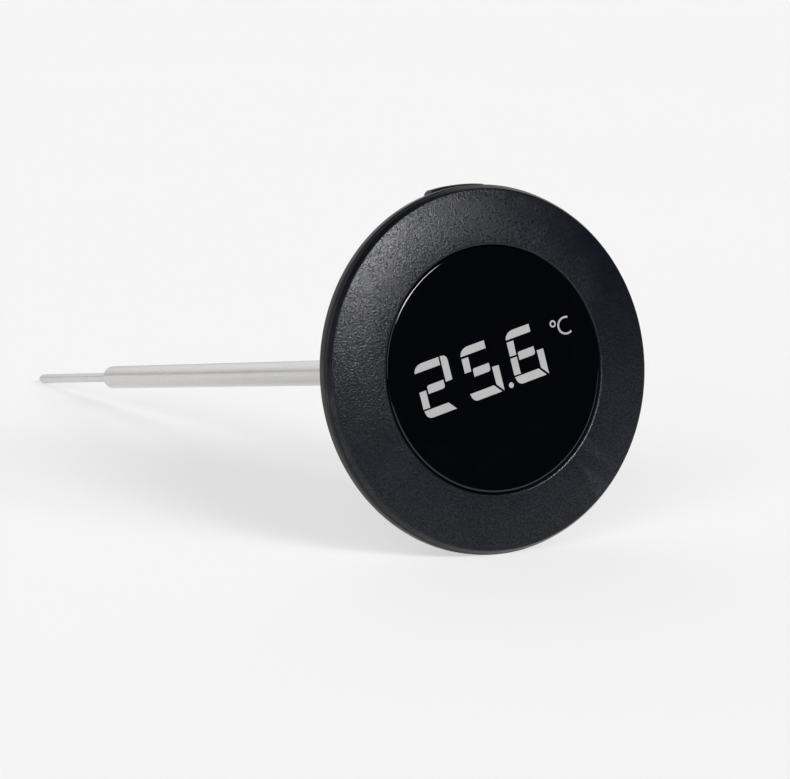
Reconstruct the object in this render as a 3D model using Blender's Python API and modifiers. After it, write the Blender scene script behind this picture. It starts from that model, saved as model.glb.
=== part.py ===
"""Digital probe thermometer: a thin round display head on a long stainless stem with a reduced sensing tip.

Run with   blender --background --python part.py   or from Blender's text editor.

The head is modelled about its own axis: local +Z is the front normal of the face, local Y points up the face,
and the stem runs along local -Z. An empty then lays the whole thing down as it lies on a table, on the back edge
of the rim and on the end of the tip. World +Z is up, +Y points along the stem, and the origin is the centre of the
bounding box's bottom. Lengths below are in millimetres and are turned into metres by MM.
"""
import math

import bmesh
import bpy
from mathutils import Matrix, Vector

MM = 0.001

# ---- driving dimensions, mm (depths are measured back from the outer front edge of the bezel) -----------------
HEAD_R = 25.0            # outermost radius of the head
FACE_R = 24.4            # radius where the sloping face of the bezel ends
FACE_RISE = 0.75         # the bezel's inner edge stands this far in front of its outer edge
WINDOW_EDGE_R = 16.86    # inner edge of the bezel's face
LENS_R = 16.5
LENS_FRONT = 0.62
LENS_BACK_DEPTH = 0.60
LEDGE_R = 14.9           # opening in the ledge that the lens rests on
LEDGE_TOP, LEDGE_BOTTOM = 0.85, 1.60
BEZEL_BOTTOM = 0.85
PARTING_GAP = 0.15       # the fine line between the bezel and the rear housing
RIM_FILLET = 1.0
RIM_FILLET_DEPTH = 2.0   # depth of the centre of the fillet on the rim's back edge
BACK_DEPTH = 11.5        # the flat back of the head
BACK_FLAT_R = 18.9
HUB_BOSS_R, HUB_BOSS_DEPTH = 3.4, 12.3
STEM_R, STEM_BORE_R = 1.9, 1.5
STEM_TOP, STEM_END = 7.2, 128.6
TIP_R, TIP_BORE_R = 0.8, 0.55
TIP_TOP, TIP_END = 123.0, 160.5
DISPLAY_ROLL = 13.3      # degrees, the display's upright against the face's upright as the object lies
BUTTON_ANGLE = 3.4       # degrees, where the button stands on the side of the head
BUTTON_W, BUTTON_H = 9.0, 1.9
BUTTON_TOP_R = 25.15     # the cap's outer face follows the rim
BUTTON_FOOT_R = (20.55, 21.1)
BUTTON_DEPTH = 4.1       # depth of the button's centre line
BUTTON_TRAVEL = 0.5
DOOR_OFFSET = 10.8       # battery door's centre below the stem
DOOR_R, DOOR_BORE_R, DOOR_RECESS_R = 6.95, 6.5, 7.1
CELL_R, CELL_FRONT, CELL_BACK = 6.25, 7.2, 9.7   # a 12.5 x 2.5 mm lithium cell
PCB_R, PCB_FRONT, PCB_BACK = 20.4, 5.6, 6.4
SCREW_CIRCLE_R = 17.0
N = 48                   # facets round the head
N_STEM = 24              # facets round the stem

# ---- how it lies: the rim's fillet and the rounded tip both touch the table ------------------------------------
FLAT = math.cos(math.pi / N)              # a facet, not a corner, is at the bottom
FLAT_T = math.cos(math.pi / N_STEM)
RIM_C = (HEAD_R - RIM_FILLET, RIM_FILLET_DEPTH)


def rim_points():
    """The rim's back edge as built: points of the fillet, (radius, depth)."""
    c, r = RIM_C, RIM_FILLET
    return [(c[0] + r * math.cos(math.radians(a)), c[1] + r * math.sin(math.radians(a))) for a in (0, 15, 30, 50, 70, 90)]


def tip_points():
    """The tip's rounded end as built: (radius, depth)."""
    c = TIP_END - TIP_R
    return [(TIP_R * math.cos(math.radians(a)), c + TIP_R * math.sin(math.radians(a))) for a in (0, 15, 30, 45, 60, 75)] + [(0.0, TIP_END)]


def lie_down():
    """The stem's fall angle and the height of the head's centre above the table."""
    a = math.radians(8.8)
    for _ in range(60):
        low_rim = max(r * FLAT * math.cos(a) + s * math.sin(a) for r, s in rim_points())
        low_tip = max(r * FLAT_T * math.cos(a) + s * math.sin(a) for r, s in tip_points())
        a += (low_rim - low_tip) / (TIP_END - RIM_C[1])
    return a, low_rim


FALL, HEAD_HEIGHT = lie_down()
Y_FRONT = -FACE_R * FLAT * math.sin(FALL)
Y_BACK = max(s * math.cos(FALL) + r * FLAT_T * math.sin(FALL) for r, s in tip_points())
HEAD_Y = -(Y_FRONT + Y_BACK) / 2

# ---- a clean scene ----------------------------------------------------------------------------------------------
for o in list(bpy.data.objects):
    bpy.data.objects.remove(o, do_unlink=True)
scene = bpy.context.scene
parts = bpy.data.collections.new("probe_thermometer")
tools = bpy.data.collections.new("cutters")
scene.collection.children.link(parts)
scene.collection.children.link(tools)


def material(name, color, roughness, metallic=0.0):
    m = bpy.data.materials.new(name)
    m.use_nodes = True
    b = m.node_tree.nodes["Principled BSDF"]
    b.inputs["Base Color"].default_value = (*color, 1)
    b.inputs["Roughness"].default_value = roughness
    b.inputs["Metallic"].default_value = metallic
    m.diffuse_color = (*color, 1)
    return m


BLACK = material("textured_black_abs", (0.028, 0.029, 0.032), 0.5)
SMOOTH = material("smooth_black_abs", (0.02, 0.02, 0.022), 0.3)
GLASS = material("smoked_lens", (0.004, 0.004, 0.005), 0.04)
STEEL = material("brushed_stainless", (0.62, 0.61, 0.6), 0.28, 1.0)
RUBBER = material("black_silicone", (0.03, 0.03, 0.03), 0.8)
FOAM = material("adhesive_foam", (0.05, 0.05, 0.05), 0.9)
LCD = material("display_glass", (0.03, 0.035, 0.04), 0.1)
WHITE = material("white_acrylic", (0.85, 0.85, 0.83), 0.35)
BOARD = material("green_board", (0.02, 0.18, 0.08), 0.4)
CHIP = material("chip_epoxy", (0.02, 0.02, 0.02), 0.6)
TIN = material("tinned_contact", (0.75, 0.74, 0.7), 0.25, 1.0)
WIRE_A = material("red_wire", (0.55, 0.03, 0.03), 0.5)
WIRE_B = material("white_wire", (0.8, 0.8, 0.78), 0.5)
BEAD = material("thermistor_glass", (0.25, 0.12, 0.04), 0.2)

# ---- empties: the axis of the head, the rolled display frame, the button's and the battery door's frames --------


def empty(name, parent=None, location=(0, 0, 0), rotation=(0, 0, 0)):
    e = bpy.data.objects.new(name, None)
    parts.objects.link(e)
    e.parent = parent
    e.location = Vector(location) * MM
    e.rotation_euler = rotation
    return e


axis = empty("head_axis", None, (0, HEAD_Y, HEAD_HEIGHT), (math.pi / 2 - FALL, 0, 0))
display = empty("display_axis", axis, (0, 0, 0), (0, 0, math.radians(DISPLAY_ROLL)))
door_axis = empty("door_axis", display, (0, -DOOR_OFFSET, 0))
# the button's frame: local Y points out of the head, local Z still points to the front
button_axis = empty("button_axis", axis, (0, 0, -BUTTON_DEPTH), (0, 0, math.radians(BUTTON_ANGLE)))


def put(obj, mat, parent, tool=False):
    for c in list(obj.users_collection):
        c.objects.unlink(obj)
    (tools if tool else parts).objects.link(obj)
    obj.parent = parent
    if mat is not None:
        obj.data.materials.clear()
        obj.data.materials.append(mat)
    if tool:
        obj.hide_render = True
        obj.display_type = "WIRE"
    return obj


def turned(name, profile, mat, parent=axis, steps=N, closed=False, location=(0, 0, 0), tool=False, turn=None):
    """A turned piece. profile holds (radius, z) going outward over the top and down the outer side; a closed one comes
    back up the bore. It is turned half a step, so that a flat and not a corner faces each axis."""
    mesh = bpy.data.meshes.new(name)
    v = [(r * MM, 0, z * MM) for r, z in profile]
    e = [(i, i + 1) for i in range(len(v) - 1)] + ([(len(v) - 1, 0)] if closed else [])
    mesh.from_pydata(v, e, [])
    obj = bpy.data.objects.new(name, mesh)
    put(obj, mat, parent, tool)
    obj.location = Vector(location) * MM
    obj.rotation_euler = (0, 0, math.pi / steps if turn is None else turn)
    s = obj.modifiers.new("turn", "SCREW")
    s.axis, s.angle, s.screw_offset = "Z", 2 * math.pi, 0
    s.steps = s.render_steps = steps
    s.use_merge_vertices, s.merge_threshold = True, 0.00001
    s.use_smooth_shade = True
    return obj


def cylinders(name, parent, items, steps=24):
    """One tool made of separate cylinders. items holds (x, y, radius, z_low, z_high)."""
    bm = bmesh.new()
    for x, y, r, z0, z1 in items:
        m = Matrix.Translation(Vector((x, y, (z0 + z1) / 2)) * MM) @ Matrix.Rotation(math.pi / steps, 4, "Z")
        bmesh.ops.create_cone(bm, cap_ends=True, segments=steps if r > 3 else 20, radius1=r * MM, radius2=r * MM,
                              depth=(z1 - z0) * MM, matrix=m)
    mesh = bpy.data.meshes.new(name)
    bm.to_mesh(mesh)
    bm.free()
    return put(bpy.data.objects.new(name, mesh), None, parent, tool=True)


def box(name, mat, parent, low, high, tool=False, bevel=0.0):
    """A block between two corners, mm, with its edges rounded by bevel."""
    bm = bmesh.new()
    low, high = Vector(low), Vector(high)
    bmesh.ops.create_cube(bm, size=1.0, matrix=Matrix.Translation((low + high) / 2 * MM) @ Matrix.Diagonal(((high - low) * MM).to_4d()))
    mesh = bpy.data.meshes.new(name)
    bm.to_mesh(mesh)
    bm.free()
    obj = put(bpy.data.objects.new(name, mesh), mat, parent, tool)
    if bevel:
        b = obj.modifiers.new("edges", "BEVEL")
        b.width, b.segments, b.limit_method = bevel * MM, 2, "ANGLE"
    return obj


def cut(obj, tool, operation="DIFFERENCE"):
    b = obj.modifiers.new(operation.lower() + "_" + tool.name, "BOOLEAN")
    b.operation, b.object, b.solver = operation, tool, "EXACT"


def outline(name, loops, z0, z1, mat, parent):
    """A flat piece from closed outlines, the first one the edge and the others its holes, between two heights."""
    c = bpy.data.curves.new(name, "CURVE")
    c.dimensions, c.fill_mode = "2D", "BOTH"
    c.extrude = (z1 - z0) / 2 * MM
    for loop in loops:
        s = c.splines.new("POLY")
        s.points.add(len(loop) - 1)
        for p, (x, y) in zip(s.points, loop):
            p.co = (x * MM, y * MM, 0, 1)
        s.use_cyclic_u = True
    obj = put(bpy.data.objects.new(name, c), mat, parent)
    obj.location = (0, 0, (z0 + z1) / 2 * MM)
    return obj


def circle(r, n, x=0.0, y=0.0, start=0.5):
    return [(x + r * math.cos(2 * math.pi * (i + start) / n), y + r * math.sin(2 * math.pi * (i + start) / n)) for i in range(n)]


def rounded(w, h, r, n=4):
    """The outline of a rectangle with round corners."""
    out = []
    for k, (sx, sy) in enumerate(((1, 1), (-1, 1), (-1, -1), (1, -1))):
        for i in range(n + 1):
            a = math.pi / 2 * (k + i / n)
            out.append((sx * (w / 2 - r) + r * math.cos(a), sy * (h / 2 - r) + r * math.sin(a)))
    return out


def ring(name, mat, parent, major, minor, z, major_n, minor_n=6):
    bpy.ops.mesh.primitive_torus_add(major_segments=major_n, minor_segments=minor_n, major_radius=major * MM, minor_radius=minor * MM)
    obj = put(bpy.context.object, mat, parent)
    obj.name = obj.data.name = name
    obj.location = (0, 0, z * MM)
    obj.rotation_euler = (0, 0, math.pi / major_n)
    obj.data.shade_smooth()
    return obj


def wire(name, points, radius, mat, parent):
    c = bpy.data.curves.new(name, "CURVE")
    c.dimensions, c.bevel_depth, c.bevel_resolution, c.use_fill_caps = "3D", radius * MM, 1, True
    s = c.splines.new("POLY")
    s.points.add(len(points) - 1)
    for p, q in zip(s.points, points):
        p.co = (q[0] * MM, q[1] * MM, q[2] * MM, 1)
    return put(bpy.data.objects.new(name, c), mat, parent)


def at(angle, r):
    """A point in the display frame, angle in degrees from its +X."""
    return r * math.cos(math.radians(angle)), r * math.sin(math.radians(angle))


SCREWS = [at(a, SCREW_CIRCLE_R) for a in (45, 135, 225, 315)]

# ---- front bezel: sloping textured face, rounded outer edge, recess and ledge for the lens, skirt, four bosses --
bezel = turned("front_bezel", [
    (WINDOW_EDGE_R, FACE_RISE), (FACE_R, 0.0), (24.58, -0.26), (24.74, -0.55), (24.84, -0.78), (24.80, -BEZEL_BOTTOM),
    (22.2, -BEZEL_BOTTOM), (22.2, -1.9), (20.9, -1.9), (20.9, -1.3), (18.2, -1.3), (17.9, -LEDGE_BOTTOM),
    (LEDGE_R, -LEDGE_BOTTOM), (LEDGE_R, -LEDGE_TOP), (16.62, -LEDGE_TOP), (16.62, 0.38)], BLACK, closed=True)
cut(bezel, cylinders("bezel_bosses", display, [(x, y, 2.2, -7.7, -0.9) for x, y in SCREWS]), "UNION")
cut(bezel, cylinders("bezel_pilots", display, [(x, y, 1.0, -8.5, -4.2) for x, y in SCREWS]))

# ---- lens with a rounded edge, and the adhesive ring that holds it ----------------------------------------------
turned("window_lens", [(0, LENS_FRONT), (16.0, LENS_FRONT), (16.25, 0.55), (16.43, 0.36), (LENS_R, 0.1), (LENS_R, -0.5),
                       (16.4, -LENS_BACK_DEPTH), (0, -LENS_BACK_DEPTH)], GLASS)
turned("lens_adhesive_ring", [(15.1, -0.64), (16.4, -0.64), (16.4, -0.81), (15.1, -0.81)], FOAM, closed=True)

# ---- display: glass panel, light guide, two contact strips, carrier frame, light source -------------------------
box("lcd_panel", LCD, display, (-13.5, -8.5, -2.85), (13.5, 8.5, -1.75))
box("light_guide", WHITE, display, (-12.0, -6.2, -3.75), (12.0, 6.2, -2.95), bevel=0.15)
box("contact_strip_upper", RUBBER, display, (-12.0, 6.6, -5.45), (12.0, 8.0, -2.95))
box("contact_strip_lower", RUBBER, display, (-12.0, -8.0, -5.45), (12.0, -6.6, -2.95))
outline("display_carrier", [rounded(29.4, 19.0, 1.2), rounded(27.4, 17.3, 0.4)], -5.45, -1.8, SMOOTH, display)
box("backlight_led", WHITE, display, (12.25, -1.4, -5.45), (13.25, 1.4, -2.95))

# ---- circuit board and what is soldered to it -------------------------------------------------------------------
outline("circuit_board", [circle(PCB_R, N)] + [circle(2.4, 16, x, y) for x, y in SCREWS], -PCB_BACK, -PCB_FRONT, BOARD, display)
box("controller_chip", CHIP, display, (-10.5, 3.2, -7.6), (-4.3, 9.4, -6.5), bevel=0.12)
turned("quartz_crystal", [(0, 2.6), (0.85, 2.6), (0.95, 2.5), (0.95, -2.6), (0, -2.6)], TIN, display, steps=12, location=(7.5, 7.0, -7.5)).rotation_euler = (0, math.pi / 2, 0)
box("sensor_connector", WHITE, display, (-9.6, -2.2, -8.0), (-6.4, 2.2, -6.5), bevel=0.15)

# ---- push button on the side: cap, tactile switch body and its plunger ------------------------------------------
# a sector of a ring: the cap passes through the slot, and a wider and taller foot inside keeps it in
FOOT_IN, FOOT_OUT = BUTTON_FOOT_R
cap = turned("power_button", [(FOOT_IN, 1.2), (FOOT_OUT, 1.2), (FOOT_OUT, BUTTON_H / 2), (BUTTON_TOP_R - 0.3, BUTTON_H / 2),
                              (BUTTON_TOP_R - 0.09, BUTTON_H / 2 - 0.09), (BUTTON_TOP_R, BUTTON_H / 2 - 0.3),
                              (BUTTON_TOP_R, -BUTTON_H / 2 + 0.3), (BUTTON_TOP_R - 0.09, -BUTTON_H / 2 + 0.09), (BUTTON_TOP_R - 0.3, -BUTTON_H / 2),
                              (FOOT_OUT, -BUTTON_H / 2), (FOOT_OUT, -1.2), (FOOT_IN, -1.2)], SMOOTH, button_axis, steps=2 * N, closed=True)
sector = box("button_sector", None, button_axis, (-BUTTON_W / 2, 18.0, -2.0), (BUTTON_W / 2, 26.0, 2.0), tool=True)
wide = box("button_foot", None, button_axis, (-BUTTON_W / 2 - 0.7, 18.0, -2.0), (BUTTON_W / 2 + 0.7, 20.45, 2.0), tool=True)
cut(sector, wide, "UNION")
corner = sector.modifiers.new("corners", "BEVEL")
corner.width, corner.segments, corner.limit_method = 0.5 * MM, 3, "ANGLE"
cut(cap, sector, "INTERSECT")
switch = box("switch_body", CHIP, button_axis, (-2.2, 16.4, -1.2), (2.2, 19.4, 1.15), bevel=0.1)
bore = cylinders("switch_bore", button_axis, [(0, 0, 1.0, -1.0, 1.0)], steps=20)
bore.rotation_euler, bore.location = (math.pi / 2, 0, 0), (0, 18.6 * MM, 0)
cut(switch, bore)
plunger = turned("switch_plunger", [(0, 0.9), (0.7, 0.9), (0.8, 0.8), (0.8, -0.9), (0, -0.9)], RUBBER, button_axis, steps=16, location=(0, 19.5, 0))
plunger.rotation_euler = (-math.pi / 2, 0, 0)

# ---- rear housing: rim flange with a rounded back edge, bowl, flat back, central boss ---------------------------
housing = turned("rear_housing", [
    (22.4, -1.0), (24.84, -1.0), (24.93, -1.15), (HEAD_R, -1.45)] + [(r, -s) for r, s in rim_points()] + [
    (23.6, -3.05), (23.45, -3.25), (22.85, -5.6), (21.9, -7.6), (21.0, -9.3), (20.3, -10.5), (19.7, -11.2),
    (BACK_FLAT_R, -BACK_DEPTH), (HUB_BOSS_R, -BACK_DEPTH), (HUB_BOSS_R, -HUB_BOSS_DEPTH), (2.05, -HUB_BOSS_DEPTH),
    (2.05, -9.7), (3.0, -9.7), (3.0, -8.1), (4.4, -8.1), (4.4, -10.0), (17.8, -10.0), (18.6, -9.7), (19.5, -9.0),
    (20.3, -7.6), (21.3, -5.6), (21.85, -3.6), (21.85, -2.75), (22.4, -2.75)], SMOOTH, closed=True)
cut(housing, cylinders("housing_tubes", display, [(0, -DOOR_OFFSET, 7.3, -10.6, -7.3)] + [(x, y, 2.9, -10.6, -7.85) for x, y in SCREWS], steps=N), "UNION")
cut(housing, cylinders("housing_bores", display, [(0, -DOOR_OFFSET, DOOR_BORE_R, -12.5, -6.0)] + [(x, y, 1.15, -12.5, -6.0) for x, y in SCREWS], steps=N))
cut(housing, cylinders("housing_recesses", display, [(0, -DOOR_OFFSET, DOOR_RECESS_R, -12.5, -10.4)] + [(x, y, 2.0, -12.5, -9.9) for x, y in SCREWS], steps=N))
cut(housing, box("button_slot", None, button_axis, (-BUTTON_W / 2 - 0.2, 20.0, -1.1), (BUTTON_W / 2 + 0.2, 26.0, 1.1), tool=True))
cut(housing, box("contact_slot", None, door_axis, (-8.4, -1.4, -9.6), (-6.0, 1.4, -6.0), tool=True))
ring("housing_seal", RUBBER, axis, 21.95, 0.33, -2.33, N)

# ---- four screws through the back into the bezel's bosses -------------------------------------------------------
proto = turned("screw_shape", [(0, -4.5), (0.7, -4.5), (0.9, -4.9), (0.9, -9.95), (1.75, -9.95), (1.8, -10.1), (1.8, -10.75), (1.35, -11.15), (0, -11.15)],
               TIN, display, steps=16, tool=True)
for k, (w, h) in enumerate(((0.42, 2.0), (2.0, 0.42))):
    cut(proto, box(f"cross_{k}", None, display, (-w / 2, -h / 2, -11.6), (w / 2, h / 2, -10.45), tool=True))
bpy.context.view_layer.update()
screw_mesh = bpy.data.meshes.new_from_object(proto.evaluated_get(bpy.context.evaluated_depsgraph_get()))
screw_mesh.name = "housing_screw"
for k, (x, y) in enumerate(SCREWS):
    s = put(bpy.data.objects.new(f"housing_screw_{k + 1}", screw_mesh), None, display)
    s.location = (x * MM, y * MM, 0)

# ---- battery: coin cell, its two contacts, coin-slot door and its seal ------------------------------------------
turned("coin_cell", [(0, -CELL_FRONT), (5.0, -CELL_FRONT), (5.15, -7.3), (5.15, -7.5), (6.05, -7.5), (CELL_R, -7.7), (CELL_R, -9.6), (6.15, -CELL_BACK), (0, -CELL_BACK)],
       TIN, door_axis, steps=36)


def strip(name, path, thick, low, high, mat, parent, along):
    """A bent sheet-metal strip: the path's line thickened, and as wide as low to high."""
    pts = [Vector(p) for p in path]
    left, right = [], []
    for i, p in enumerate(pts):
        d = (pts[min(i + 1, len(pts) - 1)] - pts[max(i - 1, 0)]).normalized()
        nrm = Vector((-d.y, d.x)) * thick / 2
        left.append(p + nrm)
        right.append(p - nrm)
    obj = outline(name, [[tuple(p) for p in left + right[::-1]]], low, high, mat, parent)
    obj.rotation_euler = (math.pi / 2, 0, 0)
    obj.location = Vector((0, -(low + high) / 2, 0)) * MM if along == "x" else obj.location
    return obj


# spring leaf from the board to the cell's front face, and the side contact that stands in the slot of the cell's tube
strip("cell_contact_negative", [(-3.4, -6.58), (-1.6, -6.58), (-0.6, -6.68), (2.2, -7.0), (3.2, -7.02), (3.9, -6.85)], 0.16, -1.1, 1.1, TIN, door_axis, "x")
strip("cell_contact_positive", [(-8.1, -6.62), (-6.75, -6.62), (-6.56, -6.8), (-6.5, -7.3), (-6.4, -8.1), (-6.55, -9.2)], 0.16, -1.1, 1.1, TIN, door_axis, "x")

door = turned("battery_door", [(0, -9.9), (6.2, -9.9), (6.3, -10.0), (6.3, -11.0), (6.85, -11.0), (DOOR_R, -11.1), (DOOR_R, -11.35), (6.8, -11.45), (0, -11.45)], SMOOTH, door_axis, steps=N)
cut(door, box("coin_slot", None, door_axis, (-4.4, -0.65, -12.0), (4.4, 0.65, -10.75), tool=True))
ring("battery_door_seal", RUBBER, door_axis, 6.7, 0.25, -10.7, 32)

# ---- stem: collar, tube with a necked end, seal, locking washer -------------------------------------------------
turned("stem_collar", [(2.0, -12.45), (3.3, -12.45), (3.4, -12.55), (3.4, -13.6), (3.1, -14.2), (2.75, -16.9), (2.6, -17.2), (2.0, -17.2)], SMOOTH, steps=32, closed=True)
turned("stem_tube", [(STEM_BORE_R, -STEM_TOP), (STEM_R, -STEM_TOP), (STEM_R, -128.0), (1.7, -128.35), (1.3, -STEM_END), (0.88, -STEM_END),
                     (0.88, -127.4), (STEM_BORE_R, -126.8)], STEEL, steps=N_STEM, closed=True)
ring("stem_seal", RUBBER, axis, 2.48, 0.44, -8.9, 24)
turned("stem_lock_washer", [(2.0, -7.7), (3.35, -7.7), (3.35, -7.98), (2.0, -7.98)], TIN, steps=24, closed=True)

# ---- sensing tip: closed thin tube, braze bead, thermistor and its two leads ------------------------------------
turned("sensing_tip", [(TIP_BORE_R, -TIP_TOP), (TIP_R, -TIP_TOP)] + [(r, -s) for r, s in tip_points()] + [(0, -(TIP_END - 0.35)), (0.3, -(TIP_END - 0.45)), (TIP_BORE_R, -(TIP_END - 0.9))],
       STEEL, steps=N_STEM, closed=True)
turned("braze_bead", [(0.84, -128.7), (1.25, -128.7), (1.12, -129.1), (0.9, -129.7), (0.84, -129.7)], STEEL, steps=N_STEM, closed=True)
turned("thermistor", [(0, -157.6), (0.25, -157.7), (0.42, -158.1), (0.45, -158.5), (0.42, -158.9), (0.25, -159.3), (0, -159.4)], BEAD, steps=12)


def lead(name, side, mat):
    """From the bead up the stem, out of its top, and over to the connector, on a smooth bend."""
    y = 0.26 * side
    pts = [(0, y, -157.45), (0, y, -90.0), (0, y, -20.0), (0, y, -8.2), (0, y, -7.6)]
    for k in range(1, 7):
        a = math.pi / 2 * k / 6
        pts.append((-0.62 * (1 - math.cos(a)), y, -7.6 + 0.62 * math.sin(a)))
    for k in range(1, 9):
        t = k / 8
        w = t * t * (3 - 2 * t)
        pts.append((-0.62 - 5.6 * t, y + (0.9 * side - y) * w, -6.98 - 0.25 * w))
    return wire(name, pts, 0.17, mat, display)


lead("sensor_lead_red", 1, WIRE_A)
lead("sensor_lead_white", -1, WIRE_B)

bpy.context.view_layer.update()
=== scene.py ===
"""Looks of the digital probe thermometer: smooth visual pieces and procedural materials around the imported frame."""

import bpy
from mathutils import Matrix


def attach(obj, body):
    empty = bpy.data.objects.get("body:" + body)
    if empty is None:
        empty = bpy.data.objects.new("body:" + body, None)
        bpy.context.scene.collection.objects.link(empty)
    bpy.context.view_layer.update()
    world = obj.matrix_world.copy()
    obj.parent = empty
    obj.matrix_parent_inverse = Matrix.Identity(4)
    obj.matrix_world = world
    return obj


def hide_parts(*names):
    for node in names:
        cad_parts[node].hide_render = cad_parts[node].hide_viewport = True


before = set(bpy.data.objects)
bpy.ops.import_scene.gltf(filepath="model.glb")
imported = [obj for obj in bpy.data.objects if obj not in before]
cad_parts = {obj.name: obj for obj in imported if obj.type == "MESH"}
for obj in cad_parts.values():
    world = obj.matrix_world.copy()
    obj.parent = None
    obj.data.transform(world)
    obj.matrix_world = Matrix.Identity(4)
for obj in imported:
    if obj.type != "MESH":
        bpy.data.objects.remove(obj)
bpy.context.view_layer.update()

import math

import bmesh
import bpy
from mathutils import Matrix, Vector

MM = 0.001

# ---- the head's own frame, as in the CAD: +Z out of the face, stem along -Z --------------------------------------
FALL = math.radians(8.708086757960016)
HEAD = Vector((0.0, -0.077483858, 0.024967280))
AXIS = Matrix.Translation(HEAD) @ Matrix.Rotation(math.pi / 2 - FALL, 4, "X")
DISPLAY = AXIS @ Matrix.Rotation(math.radians(13.3), 4, "Z")
DOOR = DISPLAY @ Matrix.Translation((0, -10.8 * MM, 0))
BUTTON = AXIS @ Matrix.Translation((0, 0, -4.1 * MM)) @ Matrix.Rotation(math.radians(3.4), 4, "Z")

scene = bpy.context.scene
scene.view_settings.view_transform = "Standard"
scene.view_settings.look = "None"
looks = bpy.data.collections.new("looks")
scene.collection.children.link(looks)
tools = bpy.data.collections.new("cutters")
scene.collection.children.link(tools)

# =================================================================================================================
# materials
# =================================================================================================================


class Nodes:
    """A small helper that builds a node material line by line."""

    def __init__(self, name, roughness=0.5, metallic=0.0, color=(0.5, 0.5, 0.5)):
        self.m = bpy.data.materials.new(name)
        self.m.use_nodes = True
        self.t = self.m.node_tree
        self.b = self.t.nodes["Principled BSDF"]
        self.b.inputs["Roughness"].default_value = roughness
        self.b.inputs["Metallic"].default_value = metallic
        self.b.inputs["Base Color"].default_value = (*color, 1)
        self.m.diffuse_color = (*color, 1)
        self.where = self.t.nodes.new("ShaderNodeTexCoord").outputs["Object"]
        self.where = self.local()

    def local(self):
        """The head's own coordinates, Z along the stem, from the model's."""
        n = self.new("ShaderNodeMapping")
        turn = AXIS.to_3x3().inverted()
        n.inputs["Rotation"].default_value = turn.to_euler()
        n.inputs["Location"].default_value = -(turn @ AXIS.translation)
        self.link(self.where, n.inputs["Vector"])
        return n.outputs["Vector"]

    def new(self, kind, **values):
        n = self.t.nodes.new(kind)
        for k, v in values.items():
            setattr(n, k, v)
        return n

    def link(self, a, b):
        self.t.links.new(a, b)

    def stretched(self, scale, rotation=(0, 0, 0)):
        n = self.new("ShaderNodeMapping")
        n.inputs["Scale"].default_value = scale
        n.inputs["Rotation"].default_value = rotation
        self.link(self.where, n.inputs["Vector"])
        return n.outputs["Vector"]

    def noise(self, scale, detail=2.0, rough=0.5, vector=None, distortion=0.0):
        n = self.new("ShaderNodeTexNoise")
        n.inputs["Scale"].default_value = scale
        n.inputs["Detail"].default_value = detail
        n.inputs["Roughness"].default_value = rough
        n.inputs["Distortion"].default_value = distortion
        self.link(vector or self.where, n.inputs["Vector"])
        return n.outputs["Fac"]

    def cells(self, scale, vector=None, feature="F1"):
        n = self.new("ShaderNodeTexVoronoi", feature=feature)
        n.inputs["Scale"].default_value = scale
        self.link(vector or self.where, n.inputs["Vector"])
        return n.outputs["Distance"]

    def range(self, value, low, high, to_low, to_high, smooth=False):
        n = self.new("ShaderNodeMapRange", clamp=True)
        if smooth:
            n.interpolation_type = "SMOOTHSTEP"
        for k, v in (("From Min", low), ("From Max", high), ("To Min", to_low), ("To Max", to_high)):
            n.inputs[k].default_value = v
        self.link(value, n.inputs["Value"])
        return n.outputs["Result"]

    def math(self, op, a, b=None, clamp=False):
        n = self.new("ShaderNodeMath", operation=op, use_clamp=clamp)
        for i, v in enumerate((a, b)):
            if v is None:
                continue
            if isinstance(v, (int, float)):
                n.inputs[i].default_value = v
            else:
                self.link(v, n.inputs[i])
        return n.outputs[0]

    def mix(self, fac, a, b):
        n = self.new("ShaderNodeMix", data_type="RGBA")
        self.link(fac, n.inputs[0])
        for i, v in ((6, a), (7, b)):
            if isinstance(v, tuple):
                n.inputs[i].default_value = (*v, 1)
            else:
                self.link(v, n.inputs[i])
        return n.outputs[2]

    def bump(self, height, strength, distance, after=None):
        n = self.new("ShaderNodeBump")
        n.inputs["Strength"].default_value = strength
        n.inputs["Distance"].default_value = distance
        self.link(height, n.inputs["Height"])
        if after is not None:
            self.link(after, n.inputs["Normal"])
        return n.outputs["Normal"]

    def radius(self):
        """Distance from the piece's own Z axis."""
        s = self.new("ShaderNodeSeparateXYZ")
        self.link(self.where, s.inputs[0])
        x2 = self.math("MULTIPLY", s.outputs[0], s.outputs[0])
        y2 = self.math("MULTIPLY", s.outputs[1], s.outputs[1])
        return self.math("SQRT", self.math("ADD", x2, y2))

    def height(self):
        s = self.new("ShaderNodeSeparateXYZ")
        self.link(self.where, s.inputs[0])
        return s.outputs[2]

    def edges(self, low=0.52, high=0.62):
        """Where the surface turns outwards sharply."""
        g = self.new("ShaderNodeNewGeometry")
        return self.range(g.outputs["Pointiness"], low, high, 0.0, 1.0)

    def set(self, color=None, roughness=None, normal=None):
        if color is not None:
            self.link(color, self.b.inputs["Base Color"])
        if roughness is not None:
            self.link(roughness, self.b.inputs["Roughness"])
        if normal is not None:
            self.link(normal, self.b.inputs["Normal"])
        return self.m


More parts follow.
